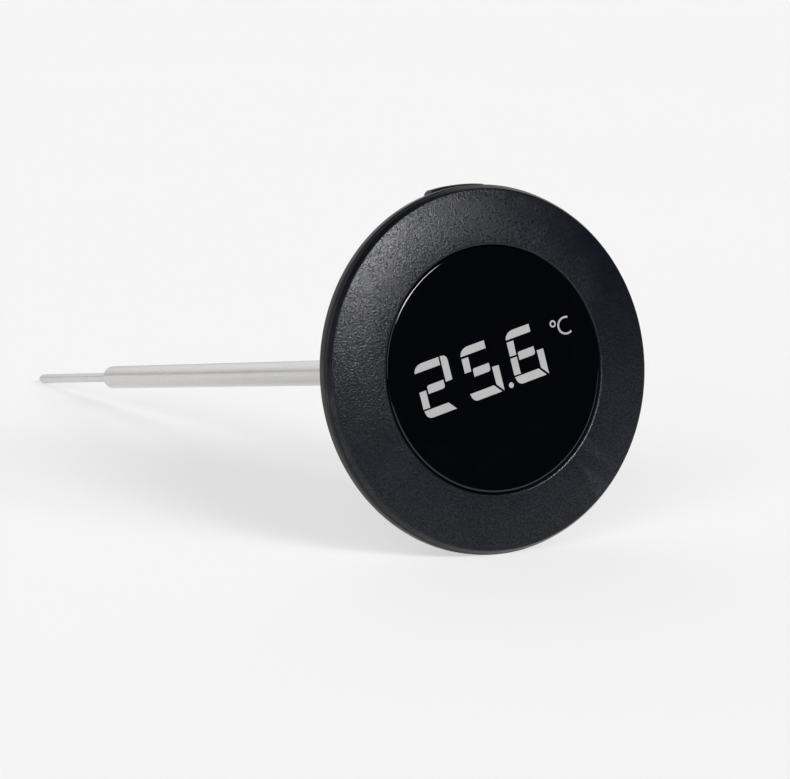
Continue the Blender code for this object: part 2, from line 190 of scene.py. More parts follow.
def textured_plastic(name, dark, light, rough, grain=2600.0, strength=0.5, depth=0.00003, rim=None, sheen=0.5):
    """Spark-eroded moulded plastic: rounded grains with finer pits between them. rim is (inner, outer) radius of the
    textured face; the edges beyond it are left smooth by the tool."""
    n = Nodes(name, rough, 0.0, light)
    n.b.inputs["Specular IOR Level"].default_value = sheen
    big = n.noise(70.0, 3.0, 0.55)
    mid = n.noise(grain, 2.0, 0.6)
    fine = n.noise(grain * 2.1, 1.0, 0.5)
    pits = n.cells(grain * 1.15, feature="SMOOTH_F1")
    tone = n.math("ADD", n.math("MULTIPLY", big, 0.55), n.math("MULTIPLY", mid, 0.45))
    color = n.mix(n.range(tone, 0.38, 0.62, 0.0, 1.0), dark, light)
    rubbed = n.math("MULTIPLY", n.edges(0.515, 0.60), n.range(n.noise(900.0, 3.0, 0.6), 0.42, 0.62, 0.25, 1.0))
    relief = n.math("ADD", n.math("MULTIPLY", mid, 0.6), n.math("ADD", n.math("MULTIPLY", fine, 0.25), n.math("MULTIPLY", pits, 0.5)))
    rough_mid = n.range(n.noise(150.0, 3.0, 0.6), 0.3, 0.7, rough - 0.035, rough + 0.035)
    if rim:
        r = n.radius()
        face = n.math("MULTIPLY", n.range(r, rim[0], rim[0] + 0.00014, 0.0, 1.0, True), n.range(r, rim[1] - 0.00012, rim[1] + 0.00006, 1.0, 0.0, True))
        relief = n.math("MULTIPLY", relief, face)
        outside = n.range(r, rim[1] - 0.0001, rim[1] + 0.0002, 0.0, 1.0, True)
        inside = n.range(r, rim[0] - 0.00003, rim[0] + 0.00006, 1.0, 0.0, True)
        rough_mid = n.math("ADD", rough_mid, n.math("SUBTRACT", n.math("MULTIPLY", outside, 0.08), n.math("MULTIPLY", inside, 0.08)))
        speckle = n.math("MULTIPLY", n.range(n.noise(grain * 1.08, 1.0, 0.5), 0.36, 0.64, 0.58, 1.42), sheen)
        gloss = n.math("ADD", speckle, n.math("ADD", n.math("MULTIPLY", inside, 0.16), n.math("MULTIPLY", outside, 0.06)))
        n.link(gloss, n.b.inputs["Specular IOR Level"])
        band = n.math("MULTIPLY", n.range(r, rim[1] - 0.0004, rim[1], 0.0, 1.0, True), n.range(n.noise(260.0, 4.0, 0.65), 0.50, 0.66, 0.0, 0.5))
        rubbed = n.math("MAXIMUM", rubbed, band)
    worn = tuple(min(1.0, c * 1.8 + 0.004) for c in light)
    color = n.mix(rubbed, color, worn)
    rough_out = n.math("SUBTRACT", rough_mid, n.math("MULTIPLY", rubbed, 0.05))
    return n.set(color, rough_out, n.bump(relief, strength, depth))


def smooth_plastic(name, dark, light, rough, bump=0.06, matt_rim=None):
    """Polished moulded plastic: faint flow marks, handling smears in the gloss, hairline scratches."""
    n = Nodes(name, rough, 0.0, light)
    flow = n.noise(55.0, 4.0, 0.6, distortion=0.8)
    smear = n.noise(120.0, 5.0, 0.7, distortion=1.5)
    fine = n.noise(5200.0, 2.0, 0.5)
    color = n.mix(n.range(flow, 0.35, 0.65, 0.0, 1.0), dark, light)
    scratch = n.range(n.noise(30.0, 6.0, 0.75, n.stretched((260.0, 9.0, 30.0), (0.3, 0.2, 0.9))), 0.60, 0.68, 0.0, 1.0)
    rubbed = n.math("MULTIPLY", n.edges(0.52, 0.62), n.range(n.noise(700.0, 3.0, 0.6), 0.42, 0.64, 0.1, 0.9))
    color = n.mix(n.math("MULTIPLY", n.math("MAXIMUM", rubbed, n.math("MULTIPLY", scratch, 0.5)), 0.6), color, tuple(min(1.0, c * 1.8 + 0.012) for c in light))
    base = n.range(smear, 0.35, 0.7, rough - 0.07, rough + 0.09)
    out = n.math("ADD", base, n.math("MULTIPLY", scratch, 0.1))
    if matt_rim:
        rim = n.range(n.radius(), matt_rim - 0.0002, matt_rim + 0.0001, 0.0, 1.0, True)
        out = n.math("ADD", out, n.math("MULTIPLY", rim, 0.15))
        n.link(n.math("SUBTRACT", 0.5, n.math("MULTIPLY", rim, 0.25)), n.b.inputs["Specular IOR Level"])
    relief = n.math("ADD", n.math("MULTIPLY", fine, 0.4), n.math("MULTIPLY", smear, 0.3))
    return n.set(color, out, n.bump(relief, bump, 0.00002))


def drawn_steel(name, dark, light, rough, along=(3400.0, 3400.0, 22.0), bump=0.10, heat=False):
    """Drawn and brushed stainless tube: streaks along the axis, faint cloudy stains, fine pits."""
    n = Nodes(name, rough, 1.0, light)
    streak = n.noise(1.0, 3.0, 0.6, n.stretched(along))
    wide = n.noise(1.0, 2.0, 0.5, n.stretched((along[0] * 0.22, along[1] * 0.22, along[2] * 0.5)))
    cloud = n.noise(190.0, 4.0, 0.65, distortion=0.6)
    tone = n.math("ADD", n.math("MULTIPLY", streak, 0.5), n.math("ADD", n.math("MULTIPLY", wide, 0.25), n.math("MULTIPLY", cloud, 0.25)))
    color = n.mix(n.range(tone, 0.36, 0.64, 0.0, 1.0), dark, light)
    if heat:
        z = n.height()
        band = n.math("MULTIPLY", n.range(z, -0.1305, -0.1287, 0.0, 1.0, True), n.range(n.noise(520.0, 3.0, 0.6), 0.3, 0.6, 0.3, 1.0))
        near = n.math("MULTIPLY", n.range(z, -0.1287, -0.1262, 1.0, 0.0, True), band)
        color = n.mix(n.math("MULTIPLY", near, 0.45), color, (0.50, 0.42, 0.33))
    rubbed = n.math("MULTIPLY", n.edges(0.53, 0.66), 0.5)
    color = n.mix(rubbed, color, (0.78, 0.77, 0.75))
    base = n.range(streak, 0.3, 0.7, rough - 0.05, rough + 0.07)
    out = n.math("ADD", base, n.range(cloud, 0.45, 0.75, 0.0, 0.06))
    return n.set(color, out, n.bump(streak, bump, 0.00002))


def rubber(name, tone, rough=0.75):
    n = Nodes(name, rough, 0.0, (tone,) * 3)
    dust = n.noise(800.0, 4.0, 0.7)
    color = n.mix(n.range(dust, 0.42, 0.7, 0.0, 1.0), (tone,) * 3, (tone * 1.9,) * 3)
    return n.set(color, n.range(n.noise(300.0, 3.0), 0.3, 0.7, rough - 0.08, min(1.0, rough + 0.1)), n.bump(n.noise(6000.0, 2.0), 0.2, 0.00002))


def painted(name, dark, light, rough, grain=1800.0, bump=0.08, metallic=0.0):
    """A plain part of some other stuff: mottled colour, uneven gloss and a fine surface."""
    n = Nodes(name, rough, metallic, light)
    a, b = n.noise(220.0, 4.0, 0.6), n.noise(grain, 3.0, 0.6)
    color = n.mix(n.range(n.math("ADD", n.math("MULTIPLY", a, 0.6), n.math("MULTIPLY", b, 0.4)), 0.38, 0.62, 0.0, 1.0), dark, light)
    color = n.mix(n.math("MULTIPLY", n.edges(), 0.35), color, tuple(min(1.0, c * 1.3 + 0.02) for c in light))
    return n.set(color, n.range(a, 0.3, 0.7, max(0.02, rough - 0.06), rough + 0.08), n.bump(b, bump, 0.00002))


def lens_glass(name):
    """Smoked acrylic over a black mask: polished, with faint wiping marks and dust that show only in the gloss."""
    n = Nodes(name, 0.04, 0.0, (0.0005, 0.0007, 0.0017))
    n.b.inputs["IOR"].default_value = 1.47
    haze = n.noise(85.0, 5.0, 0.7, distortion=1.2)
    wipe = n.noise(16.0, 4.0, 0.7, n.stretched((60.0, 9.0, 9.0), (0, 0, 0.7)))
    dust = n.range(n.cells(950.0), 0.0, 0.045, 1.0, 0.0)
    few = n.math("MULTIPLY", dust, n.range(n.noise(330.0, 2.0), 0.66, 0.72, 0.0, 1.0))
    color = n.mix(n.range(haze, 0.3, 0.75, 0.0, 1.0), (0.0002, 0.0003, 0.0008), (0.0006, 0.0008, 0.0016))
    color = n.mix(n.math("MULTIPLY", few, 0.35), color, (0.06, 0.06, 0.06))
    rough = n.math("ADD", n.range(haze, 0.4, 0.75, 0.03, 0.065), n.range(wipe, 0.5, 0.75, 0.0, 0.035))
    return n.set(color, rough, n.bump(wipe, 0.015, 0.00003))


def lit_segment(name):
    """A lit display segment: even light grey, slightly uneven like a diffused back light."""
    n = Nodes(name, 0.55, 0.0, (0.3, 0.3, 0.3))
    glow = n.noise(160.0, 2.0, 0.5)
    grain = n.noise(5200.0, 1.0, 0.5)
    tone = n.math("ADD", n.math("MULTIPLY", glow, 0.8), n.math("MULTIPLY", grain, 0.2))
    color = n.mix(n.range(tone, 0.35, 0.65, 0.0, 1.0), (0.145, 0.145, 0.145), (0.155, 0.155, 0.155))
    light = n.mix(n.range(tone, 0.35, 0.65, 0.0, 1.0), (0.88, 0.885, 0.89), (1.0, 1.0, 1.0))
    n.link(light, n.b.inputs["Emission Color"])
    n.b.inputs["Emission Strength"].default_value = 0.205
    n.b.inputs["Specular IOR Level"].default_value = 0.2
    return n.set(color, n.range(grain, 0.3, 0.7, 0.5, 0.62), n.bump(grain, 0.05, 0.00001))


def board(name):
    """Green solder mask with darker copper tracks showing through."""
    n = Nodes(name, 0.38, 0.0, (0.015, 0.14, 0.06))
    w = n.new("ShaderNodeTexBrick")
    n.link(n.where, w.inputs["Vector"])
    w.inputs["Scale"].default_value = 420.0
    w.inputs["Color1"].default_value = (0.012, 0.13, 0.055, 1)
    w.inputs["Color2"].default_value = (0.016, 0.17, 0.07, 1)
    w.inputs["Mortar"].default_value = (0.03, 0.26, 0.12, 1)
    w.inputs["Mortar Size"].default_value = 0.03
    color = n.mix(n.range(n.noise(120.0, 3.0), 0.3, 0.7, 0.0, 0.6), w.outputs["Color"], (0.01, 0.10, 0.045))
    return n.set(color, n.range(n.noise(400.0, 3.0), 0.3, 0.7, 0.3, 0.45), n.bump(w.outputs["Fac"], 0.3, 0.00003))


BEZEL = textured_plastic("bezel_textured", (0.0018, 0.0024, 0.0046), (0.0044, 0.0052, 0.0082), 0.24, grain=3900.0, strength=1.0, depth=0.000036, rim=(0.01693, 0.02435), sheen=0.25)
SMOOTH = smooth_plastic("housing_smooth", (0.0085, 0.0085, 0.0095), (0.014, 0.014, 0.0155), 0.27, matt_rim=0.0244)
BUTTON_MAT = smooth_plastic("button_gloss", (0.004, 0.004, 0.0047), (0.007, 0.007, 0.008), 0.22, matt_rim=0.0244)
DOOR_MAT = textured_plastic("door_textured", (0.012, 0.012, 0.013), (0.022, 0.022, 0.024), 0.45, grain=3200.0, strength=0.35, depth=0.00002)
LENS = lens_glass("lens_smoked")
SEGMENT = lit_segment("display_segment_lit")
STEEL = drawn_steel("stem_drawn_steel", (0.585, 0.58, 0.564), (0.682, 0.672, 0.656), 0.22, along=(4600.0, 4600.0, 24.0), bump=0.06)
TIP_STEEL = drawn_steel("tip_steel", (0.60, 0.595, 0.59), (0.72, 0.715, 0.71), 0.28, along=(5200.0, 5200.0, 60.0), heat=True)
BRAZE = drawn_steel("braze_fillet", (0.50, 0.46, 0.41), (0.66, 0.63, 0.58), 0.34, along=(900.0, 900.0, 900.0), bump=0.25)
PLATED = drawn_steel("plated_steel", (0.55, 0.54, 0.52), (0.72, 0.71, 0.69), 0.25, along=(1500.0, 1500.0, 1500.0), bump=0.12)
RUBBER = rubber("black_silicone", 0.022)
FOAM = rubber("adhesive_foam", 0.035, 0.88)
WHITE = painted("white_acrylic", (0.70, 0.70, 0.68), (0.82, 0.82, 0.80), 0.35)
LCD = painted("display_glass", (0.012, 0.014, 0.016), (0.020, 0.023, 0.026), 0.10, bump=0.02)
CHIP = textured_plastic("chip_epoxy", (0.012, 0.012, 0.012), (0.024, 0.024, 0.025), 0.62, grain=4200.0, strength=0.3, depth=0.00002)
BOARD = board("solder_mask")
RED = smooth_plastic("red_insulation", (0.42, 0.02, 0.02), (0.56, 0.035, 0.03), 0.45)
PALE = smooth_plastic("white_insulation", (0.68, 0.68, 0.66), (0.80, 0.80, 0.78), 0.45)
BEAD = painted("thermistor_glass", (0.16, 0.07, 0.02), (0.28, 0.14, 0.05), 0.18)

# =================================================================================================================
# shape tools
# =================================================================================================================


def put(obj, matrix, mat, body, nodes=()):
    for c in list(obj.users_collection):
        c.objects.unlink(obj)
    looks.objects.link(obj)
    obj.data.transform(matrix)
    obj.data.materials.clear()
    obj.data.materials.append(mat)
    if nodes:
        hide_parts(*nodes)
    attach(obj, body)
    return obj


def rounded_path(points, closed, step=18.0):
    """A path with its corners rounded. A point is (r, z) or (r, z, fillet radius)."""
    out, n = [], len(points)
    for i, p in enumerate(points):
        f = p[2] if len(p) > 2 else 0.0
        if f <= 0 or (not closed and i in (0, n - 1)):
            out.append(Vector((p[0], p[1])))
            continue
        c = Vector((p[0], p[1]))
        a, b = Vector(points[i - 1][:2]), Vector(points[(i + 1) % n][:2])
        u, v = (a - c).normalized(), (b - c).normalized()
        angle = u.angle(v)
        if angle > math.radians(176):
            out.append(c)
            continue
        d = min(f / math.tan(angle / 2), (a - c).length * 0.48, (b - c).length * 0.48)
        r = d * math.tan(angle / 2)
        mid = c + (u + v).normalized() * (r / math.sin(angle / 2))
        s, e = c + u * d - mid, c + v * d - mid
        sweep = s.angle_signed(e) if hasattr(s, "angle_signed") else s.angle(e)
        k = max(2, int(round(math.degrees(abs(sweep)) / step)))
        a0 = math.atan2(s.y, s.x)
        turn = math.atan2(s.x * e.y - s.y * e.x, s.dot(e))
        for j in range(k + 1):
            t = a0 + turn * j / k
            out.append(mid + Vector((math.cos(t), math.sin(t))) * r)
    return [(v.x, v.y) for v in out]


def turned_mesh(name, profile, steps=144, closed=True, step=18.0, sharp=40.0, raw=False):
    """A lathe shape in mm from a profile that runs over the front and down the outside."""
    path = profile if raw else rounded_path(profile, closed, step)
    bm = bmesh.new()
    rings = []
    for r, z in path:
        if r < 1e-6:
            rings.append([bm.verts.new((0, 0, z * MM))])
        else:
            rings.append([bm.verts.new((r * MM * math.cos(2 * math.pi * k / steps), r * MM * math.sin(2 * math.pi * k / steps), z * MM)) for k in range(steps)])
    count = len(rings)
    for i in range(count if closed else count - 1):
        a, b = rings[i], rings[(i + 1) % count]
        for k in range(steps):
            q = (k + 1) % steps
            if len(a) == 1 and len(b) == 1:
                continue
            if len(a) == 1:
                bm.faces.new((a[0], b[k], b[q]))
            elif len(b) == 1:
                bm.faces.new((a[k], b[0], a[q]))
            else:
                bm.faces.new((a[k], b[k], b[q], a[q]))
    bmesh.ops.recalc_face_normals(bm, faces=bm.faces)
    mesh = bpy.data.meshes.new(name)
    bm.to_mesh(mesh)
    bm.free()
    mesh.shade_smooth()
    mesh.set_sharp_from_angle(angle=math.radians(sharp))
    return mesh


def turned(name, profile, mat, body, nodes=(), slot=None, matrix=AXIS, **options):
    mesh = turned_mesh(name, profile, **options)
    return put(bpy.data.objects.new(name, mesh), matrix, mat, body, nodes)


def tool_mesh(name, mesh, matrix):
    obj = bpy.data.objects.new(name, mesh)
    tools.objects.link(obj)
    obj.matrix_world = matrix
    return obj


def tool_rod(name, matrix, radius, z0, z1, steps=64):
    bm = bmesh.new()
    bmesh.ops.create_cone(bm, cap_ends=True, segments=steps, radius1=radius * MM, radius2=radius * MM, depth=(z1 - z0) * MM,
                          matrix=Matrix.Translation((0, 0, (z0 + z1) / 2 * MM)))
    mesh = bpy.data.meshes.new(name)
    bm.to_mesh(mesh)
    bm.free()
    return tool_mesh(name, mesh, matrix)


def tool_slot(name, matrix, low, high, bevel):
    """A block with rounded edges, for a slot or a window."""
    bm = bmesh.new()
    low, high = Vector(low), Vector(high)
    bmesh.ops.create_cube(bm, size=1.0, matrix=Matrix.Translation((low + high) / 2 * MM) @ Matrix.Diagonal(((high - low) * MM).to_4d()))
    if bevel:
        bmesh.ops.bevel(bm, geom=bm.edges[:], offset=bevel * MM, segments=4, profile=0.5, affect="EDGES")
    mesh = bpy.data.meshes.new(name)
    bm.to_mesh(mesh)
    bm.free()
    return tool_mesh(name, mesh, matrix)


def carve(obj, cutters, operation="DIFFERENCE", bevel=0.0):
    """Cuts obj with the tools, applies it, marks the new sharp edges for flat shading and removes the tools."""
    for t in cutters:
        m = obj.modifiers.new(t.name, "BOOLEAN")
        m.operation, m.object, m.solver = operation, t, "EXACT"
    bpy.context.view_layer.update()
    done = bpy.data.meshes.new_from_object(obj.evaluated_get(bpy.context.evaluated_depsgraph_get()))
    obj.modifiers.clear()
    old = obj.data
    mats = list(old.materials)
    obj.data = done
    obj.data.materials.clear()
    for m in mats:
        obj.data.materials.append(m)
    bpy.data.meshes.remove(old)
    for t in cutters:
        mesh = t.data
        bpy.data.objects.remove(t)
        bpy.data.meshes.remove(mesh)
    obj.data.shade_smooth()
    obj.data.set_sharp_from_angle(angle=math.radians(32))
    return obj


def edge_softener(obj, width, segments=3, angle=40.0):
    b = obj.modifiers.new("soft_edges", "BEVEL")
    b.width, b.segments, b.limit_method, b.angle_limit = width * MM, segments, "ANGLE", math.radians(angle)
    b.harden_normals = False
    return obj


def merged(objects):
    """Moves the meshes of the other objects into the first one."""
    first = objects[0]
    bm = bmesh.new()
    bm.from_mesh(first.data)
    for o in objects[1:]:
        extra = o.data.copy()
        extra.transform(first.matrix_world.inverted() @ o.matrix_world)
        bm.from_mesh(extra)
        bpy.data.meshes.remove(extra)
    bm.to_mesh(first.data)
    bm.free()
    for o in objects[1:]:
        bpy.data.objects.remove(o)
    first.data.shade_smooth()
    first.data.set_sharp_from_angle(angle=math.radians(35))
    return first


SCREWS = [(17.0 * math.cos(math.radians(a)), 17.0 * math.sin(math.radians(a))) for a in (45, 135, 225, 315)]

# =================================================================================================================
# front: bezel, lens, segments
# =================================================================================================================
bezel = turned("bezel", [
    (16.86, 0.75, 0.11), (20.6, 0.375), (24.40, 0.0, 0.09), (24.84, -0.76, 0.10), (24.62, -0.85), (22.2, -0.85, 0.1), (22.2, -1.9, 0.15),
    (20.9, -1.9, 0.1), (20.9, -1.3, 0.1), (18.2, -1.3, 0.1), (17.9, -1.6, 0.1), (14.9, -1.6, 0.15), (14.9, -0.85, 0.1),
    (16.68, -0.85, 0.05), (16.70, 0.30, 0.1)], BEZEL, "head", ["front_bezel"], "textured_black", steps=180, step=15.0)
bosses = []
for k, (x, y) in enumerate(SCREWS):
    mesh = turned_mesh("boss", [(2.2, -0.95), (2.2, -7.7, 0.15), (1.0, -7.7, 0.15), (1.0, -4.2), (0.0, -4.2), (0.0, -0.95)], steps=40, closed=False)
    o = bpy.data.objects.new(f"boss_{k}", mesh)
    looks.objects.link(o)
    o.matrix_world = DISPLAY @ Matrix.Translation((x * MM, y * MM, 0))
    bosses.append(o)
bpy.context.view_layer.update()
body_of_bezel = bezel
merged([body_of_bezel] + bosses)

lens = turned("lens", [(0, 0.56), (8.0, 0.56), (16.32, 0.56, 0.42), (16.52, 0.500, 0.10), (16.61, 0.33, 0.12), (16.62, -0.5, 0.05), (16.5, -0.6, 0.05), (8.0, -0.6), (0, -0.6)],
               LENS, "head", ["window_lens"], "smoked_lens", steps=180, closed=False, step=4.0)

# ---- lit segments: one rule for every digit, a slanted cell with rounded outer corners --------------------------
SEG_W, SEG_H, PITCH, SLANT = 5.36, 7.41, 7.40, 0.04
LEFT, BOTTOM = -12.12, -3.13
LENS_TOP = 0.56


def corner(cx, cy, rx, ry, a0, a1, k=6):
    return [(cx + rx * math.cos(math.radians(a0 + (a1 - a0) * i / k)), cy + ry * math.sin(math.radians(a0 + (a1 - a0) * i / k))) for i in range(k + 1)]


T = 1.09       # stroke of the level segments
U = 1.05       # stroke of the upright ones
SHAPES = {
    "a": [(0.0, SEG_H - T)] + corner(1.35, SEG_H - 1.1, 1.35, 1.1, 178, 90) + [(4.06, SEG_H), (4.06, SEG_H - T)],
    "b": [(4.30, SEG_H)] + corner(4.72, SEG_H - 0.95, 0.64, 0.93, 80, 8) + [(SEG_W, 3.93), (4.30, 3.90)],
    "c": [(4.32, 3.60), (SEG_W + 0.02, 3.56), (SEG_W + 0.02, 0.02), (4.36, 1.16)],
    "d": [(0.05, 1.17)] + corner(1.12, 0.95, 0.98, 0.95, 190, 270) + [(4.98, 0.0), (3.95, 1.17)],
    "e": [(0.0, 1.41), (0.0, 3.76), (U, 3.76), (U, 1.38)],
    "f": [(0.02, 4.04), (0.02, 6.0), (1.1, 6.0), (U, 4.02)],
    "g": [(1.34, 3.17), (1.34, 4.08)] + corner(1.58, 4.06, 0.22, 0.24, 170, 95, 3) + [(3.98, 4.30)] + [(4.0, 3.48)] + corner(3.62, 3.50, 0.38, 0.33, 0, -85, 3),
}


def glyph_mesh(name, outlines, z0, z1):
    """Thin flat plates from closed outlines, with side walls."""
    bm = bmesh.new()
    for loop in outlines:
        area = sum(a[0] * b[1] - b[0] * a[1] for a, b in zip(loop, loop[1:] + loop[:1]))
        if area < 0:
            loop = loop[::-1]
        top = [bm.verts.new((x * MM, y * MM, z1 * MM)) for x, y in loop]
        low = [bm.verts.new((x * MM, y * MM, z0 * MM)) for x, y in loop]
        bm.faces.new(top)
        bm.faces.new(low[::-1])
        n = len(loop)
        for i in range(n):
            bm.faces.new((low[i], low[(i + 1) % n], top[(i + 1) % n], top[i]))
    mesh = bpy.data.meshes.new(name)
    bm.to_mesh(mesh)
    bm.free()
    return mesh


def place(digit, loop):
    x0 = LEFT + digit * PITCH
    return [(x0 + x + SLANT * (y + BOTTOM), BOTTOM + y) for x, y in loop]


def tube_outline(path, half):
    """A stroke of even width along a path, square at its ends."""
    left, right = [], []
    for i, p in enumerate(path):
        a, b = Vector(path[max(0, i - 1)]), Vector(path[min(len(path) - 1, i + 1)])
        d = (b - a).normalized()
        left.append((p[0] - d.y * half, p[1] + d.x * half))
        right.append((p[0] + d.y * half, p[1] - d.x * half))
    return left + right[::-1]


for index, (digit, on) in enumerate((("2", "abged"), ("5", "afgcd"), ("6", "afgcde"))):
    mesh = glyph_mesh(f"digit_{index + 1}", [place(index, SHAPES[s]) for s in on], LENS_TOP - 0.01, LENS_TOP + 0.012)
    put(bpy.data.objects.new(f"digit_{index + 1}", mesh), DISPLAY, SEGMENT, "head")

dot = [(1.75 + 0.38 * math.cos(2 * math.pi * k / 28), -2.78 + 0.38 * math.sin(2 * math.pi * k / 28)) for k in range(28)]
put(bpy.data.objects.new("decimal_point", glyph_mesh("decimal_point", [dot], LENS_TOP - 0.01, LENS_TOP + 0.012)), DISPLAY, SEGMENT, "head")
# the unit: a small ring and an open arc
ring_halves = []
for a0 in (0, 180):
    ring_halves.append(tube_outline([(10.57 + 0.385 * math.cos(math.radians(a0 + 180 * k / 14)), 3.11 + 0.385 * math.sin(math.radians(a0 + 180 * k / 14))) for k in range(15)], 0.115))
put(bpy.data.objects.new("degree_ring", glyph_mesh("degree_ring", ring_halves, LENS_TOP - 0.01, LENS_TOP + 0.012)), DISPLAY, SEGMENT, "head")
arc = [(12.52 + 1.22 * math.cos(math.radians(62 + 238 * k / 26)), 2.32 + 1.13 * math.sin(math.radians(62 + 238 * k / 26))) for k in range(27)]
put(bpy.data.objects.new("unit_letter", glyph_mesh("unit_letter", [tube_outline(arc, 0.135)], LENS_TOP - 0.01, LENS_TOP + 0.012)), DISPLAY, SEGMENT, "head")

# =================================================================================================================
# back: housing, button, battery door, screws
# =================================================================================================================
housing = turned("housing", [
    (22.4, -1.0, 0.05), (24.78, -1.0, 0.1), (25.0, -1.35, 0.35), (25.0, -3.0, 0.95), (23.62, -3.02, 0.25), (23.35, -3.6, 0.5), (22.85, -5.6, 6.0), (21.9, -7.6, 6.0), (20.75, -9.9, 5.0),
    (19.9, -11.5, 1.6), (12.0, -11.5), (3.4, -11.5, 0.25), (3.4, -12.3, 0.2), (2.05, -12.3, 0.1), (2.05, -9.7, 0.1), (3.0, -9.7, 0.1), (3.0, -8.1, 0.2), (4.4, -8.1, 0.2),
    (4.4, -10.0, 0.2), (17.8, -10.0, 0.5), (19.5, -9.0, 1.0), (20.3, -7.6, 2.0), (21.3, -5.6, 2.0), (21.85, -3.6, 0.3), (21.85, -2.75, 0.1), (22.4, -2.75, 0.1)],
    SMOOTH, "head", ["rear_housing"], "smooth_black", steps=180, step=12.0)
bpy.context.view_layer.update()
carve(housing, [tool_rod("tube_door", DOOR, 7.3, -10.6, -7.3, 72)] + [tool_rod(f"tube_{k}", DISPLAY @ Matrix.Translation((x * MM, y * MM, 0)), 2.9, -10.6, -7.85, 40) for k, (x, y) in enumerate(SCREWS)], "UNION")
carve(housing, [tool_rod("bore_door", DOOR, 6.5, -12.5, -6.0, 72), tool_rod("recess_door", DOOR, 7.1, -12.5, -10.4, 72)]
      + [tool_rod(f"bore_{k}", DISPLAY @ Matrix.Translation((x * MM, y * MM, 0)), 1.15, -12.5, -6.0, 32) for k, (x, y) in enumerate(SCREWS)]
      + [tool_rod(f"recess_{k}", DISPLAY @ Matrix.Translation((x * MM, y * MM, 0)), 2.0, -12.5, -9.9, 40) for k, (x, y) in enumerate(SCREWS)]
      + [tool_slot("button_slot", BUTTON, (-4.7, 20.0, -1.1), (4.7, 26.0, 1.1), 0.45), tool_slot("contact_slot", DOOR, (-8.4, -1.4, -9.6), (-6.0, 1.4, -6.0), 0)])
edge_softener(housing, 0.12, 2, 50.0)

# ---- the button: a sector of a ring with a rounded outer face ---------------------------------------------------
button = turned("button", [(20.55, 1.2, 0.1), (21.1, 1.2, 0.1), (21.1, 0.95), (24.2, 0.95), (25.28, 0.95, 0.5), (25.28, -0.95, 0.5), (24.2, -0.95), (21.1, -0.95), (21.1, -1.2, 0.1), (20.55, -1.2, 0.1)],
                BUTTON_MAT, "button", ["power_button"], "smooth_black", matrix=BUTTON, steps=360, step=12.0)
bpy.context.view_layer.update()
wedge = tool_slot("wedge", BUTTON, (-4.5, 20.3, -2.0), (4.5, 25.45, 2.0), 0)
bm = bmesh.new()
bm.from_mesh(wedge.data)
rounding = [e for e in bm.edges if all(v.co.y > 0.025 for v in e.verts) and abs(e.verts[0].co.x - e.verts[1].co.x) < 1e-7]
bmesh.ops.bevel(bm, geom=rounding, offset=1.7 * MM, segments=10, profile=0.5, affect="EDGES")
bm.to_mesh(wedge.data)
bm.free()
carve(button, [wedge], "INTERSECT")
edge_softener(button, 0.16, 3, 45.0)

# ---- battery door with a coin slot ------------------------------------------------------------------------------
door = turned("door", [(0, -9.9), (6.2, -9.9, 0.1), (6.3, -10.0), (6.3, -11.0, 0.05), (6.85, -11.0, 0.05), (6.95, -11.15, 0.05), (6.95, -11.4, 0.12), (6.1, -11.45, 0.1), (5.9, -11.36, 0.1), (0, -11.36)],
              DOOR_MAT, "door", ["battery_door"], "smooth_black", matrix=DOOR, steps=120, closed=False, step=15.0)
bpy.context.view_layer.update()
carve(door, [tool_slot("coin", DOOR, (-4.4, -0.65, -12.4), (4.4, 0.65, -10.75), 0.35)])
edge_softener(door, 0.08, 2, 50.0)

# ---- screws: pan heads with a cross recess ----------------------------------------------------------------------
for k, (x, y) in enumerate(SCREWS):
    m = DISPLAY @ Matrix.Translation((x * MM, y * MM, 0)) @ Matrix.Rotation(math.radians(17 + 41 * k), 4, "Z")
    screw = turned(f"screw_{k + 1}", [(0, -4.5), (0.62, -4.5, 0.1), (0.9, -5.1, 0.1), (0.9, -9.95, 0.05), (1.75, -9.95, 0.05), (1.8, -10.7, 0.5), (1.0, -11.15, 1.0), (0, -11.15)],
                   PLATED, "head", [f"housing_screw_{k + 1}"], "tinned_steel", matrix=m, steps=48, closed=False, step=15.0)
    bpy.context.view_layer.update()
    carve(screw, [tool_slot("cross_a", m, (-0.2, -1.0, -11.6), (0.2, 1.0, -10.45), 0.08), tool_slot("cross_b", m, (-1.0, -0.2, -11.6), (1.0, 0.2, -10.45), 0.08)])

# =================================================================================================================
# stem, collar, tip
# =================================================================================================================
collar = turned("collar", [(2.0, -12.45, 0.1), (3.35, -12.45, 0.15), (3.4, -13.6, 0.4), (3.05, -14.3, 0.6), (2.75, -16.8, 0.3), (2.55, -17.2, 0.2), (2.0, -17.2, 0.1)],
                SMOOTH, "head", ["stem_collar"], "smooth_black", steps=96, step=12.0)
tube = turned("tube", [(1.5, -7.2, 0.1), (1.9, -7.2, 0.1), (1.9, -60.0), (1.9, -110.0), (1.9, -127.7, 0.8), (1.42, -128.6, 0.5), (0.88, -128.6, 0.05), (0.88, -127.4), (1.5, -126.8)],
              STEEL, "head", ["stem_tube"], "stainless", steps=96, step=10.0)
tip = turned("tip", [(0.55, -123.0, 0.05), (0.8, -123.0, 0.05), (0.8, -140.0), (0.8, -158.9, 0.5), (0.66, -159.8, 0.6), (0.40, -160.38, 0.5), (0, -160.5), (0, -160.0), (0.30, -159.7, 0.2), (0.55, -158.8)],
             TIP_STEEL, "head", ["sensing_tip"], "stainless", steps=64, step=9.0)
bead = turned("bead", [(0.84, -128.62), (1.42, -128.62, 0.03), (1.22, -128.95, 0.4), (0.98, -129.7, 0.8), (0.83, -130.6), (0.81, -130.5)],
              BRAZE, "head", ["braze_bead"], "stainless", steps=64, step=9.0)

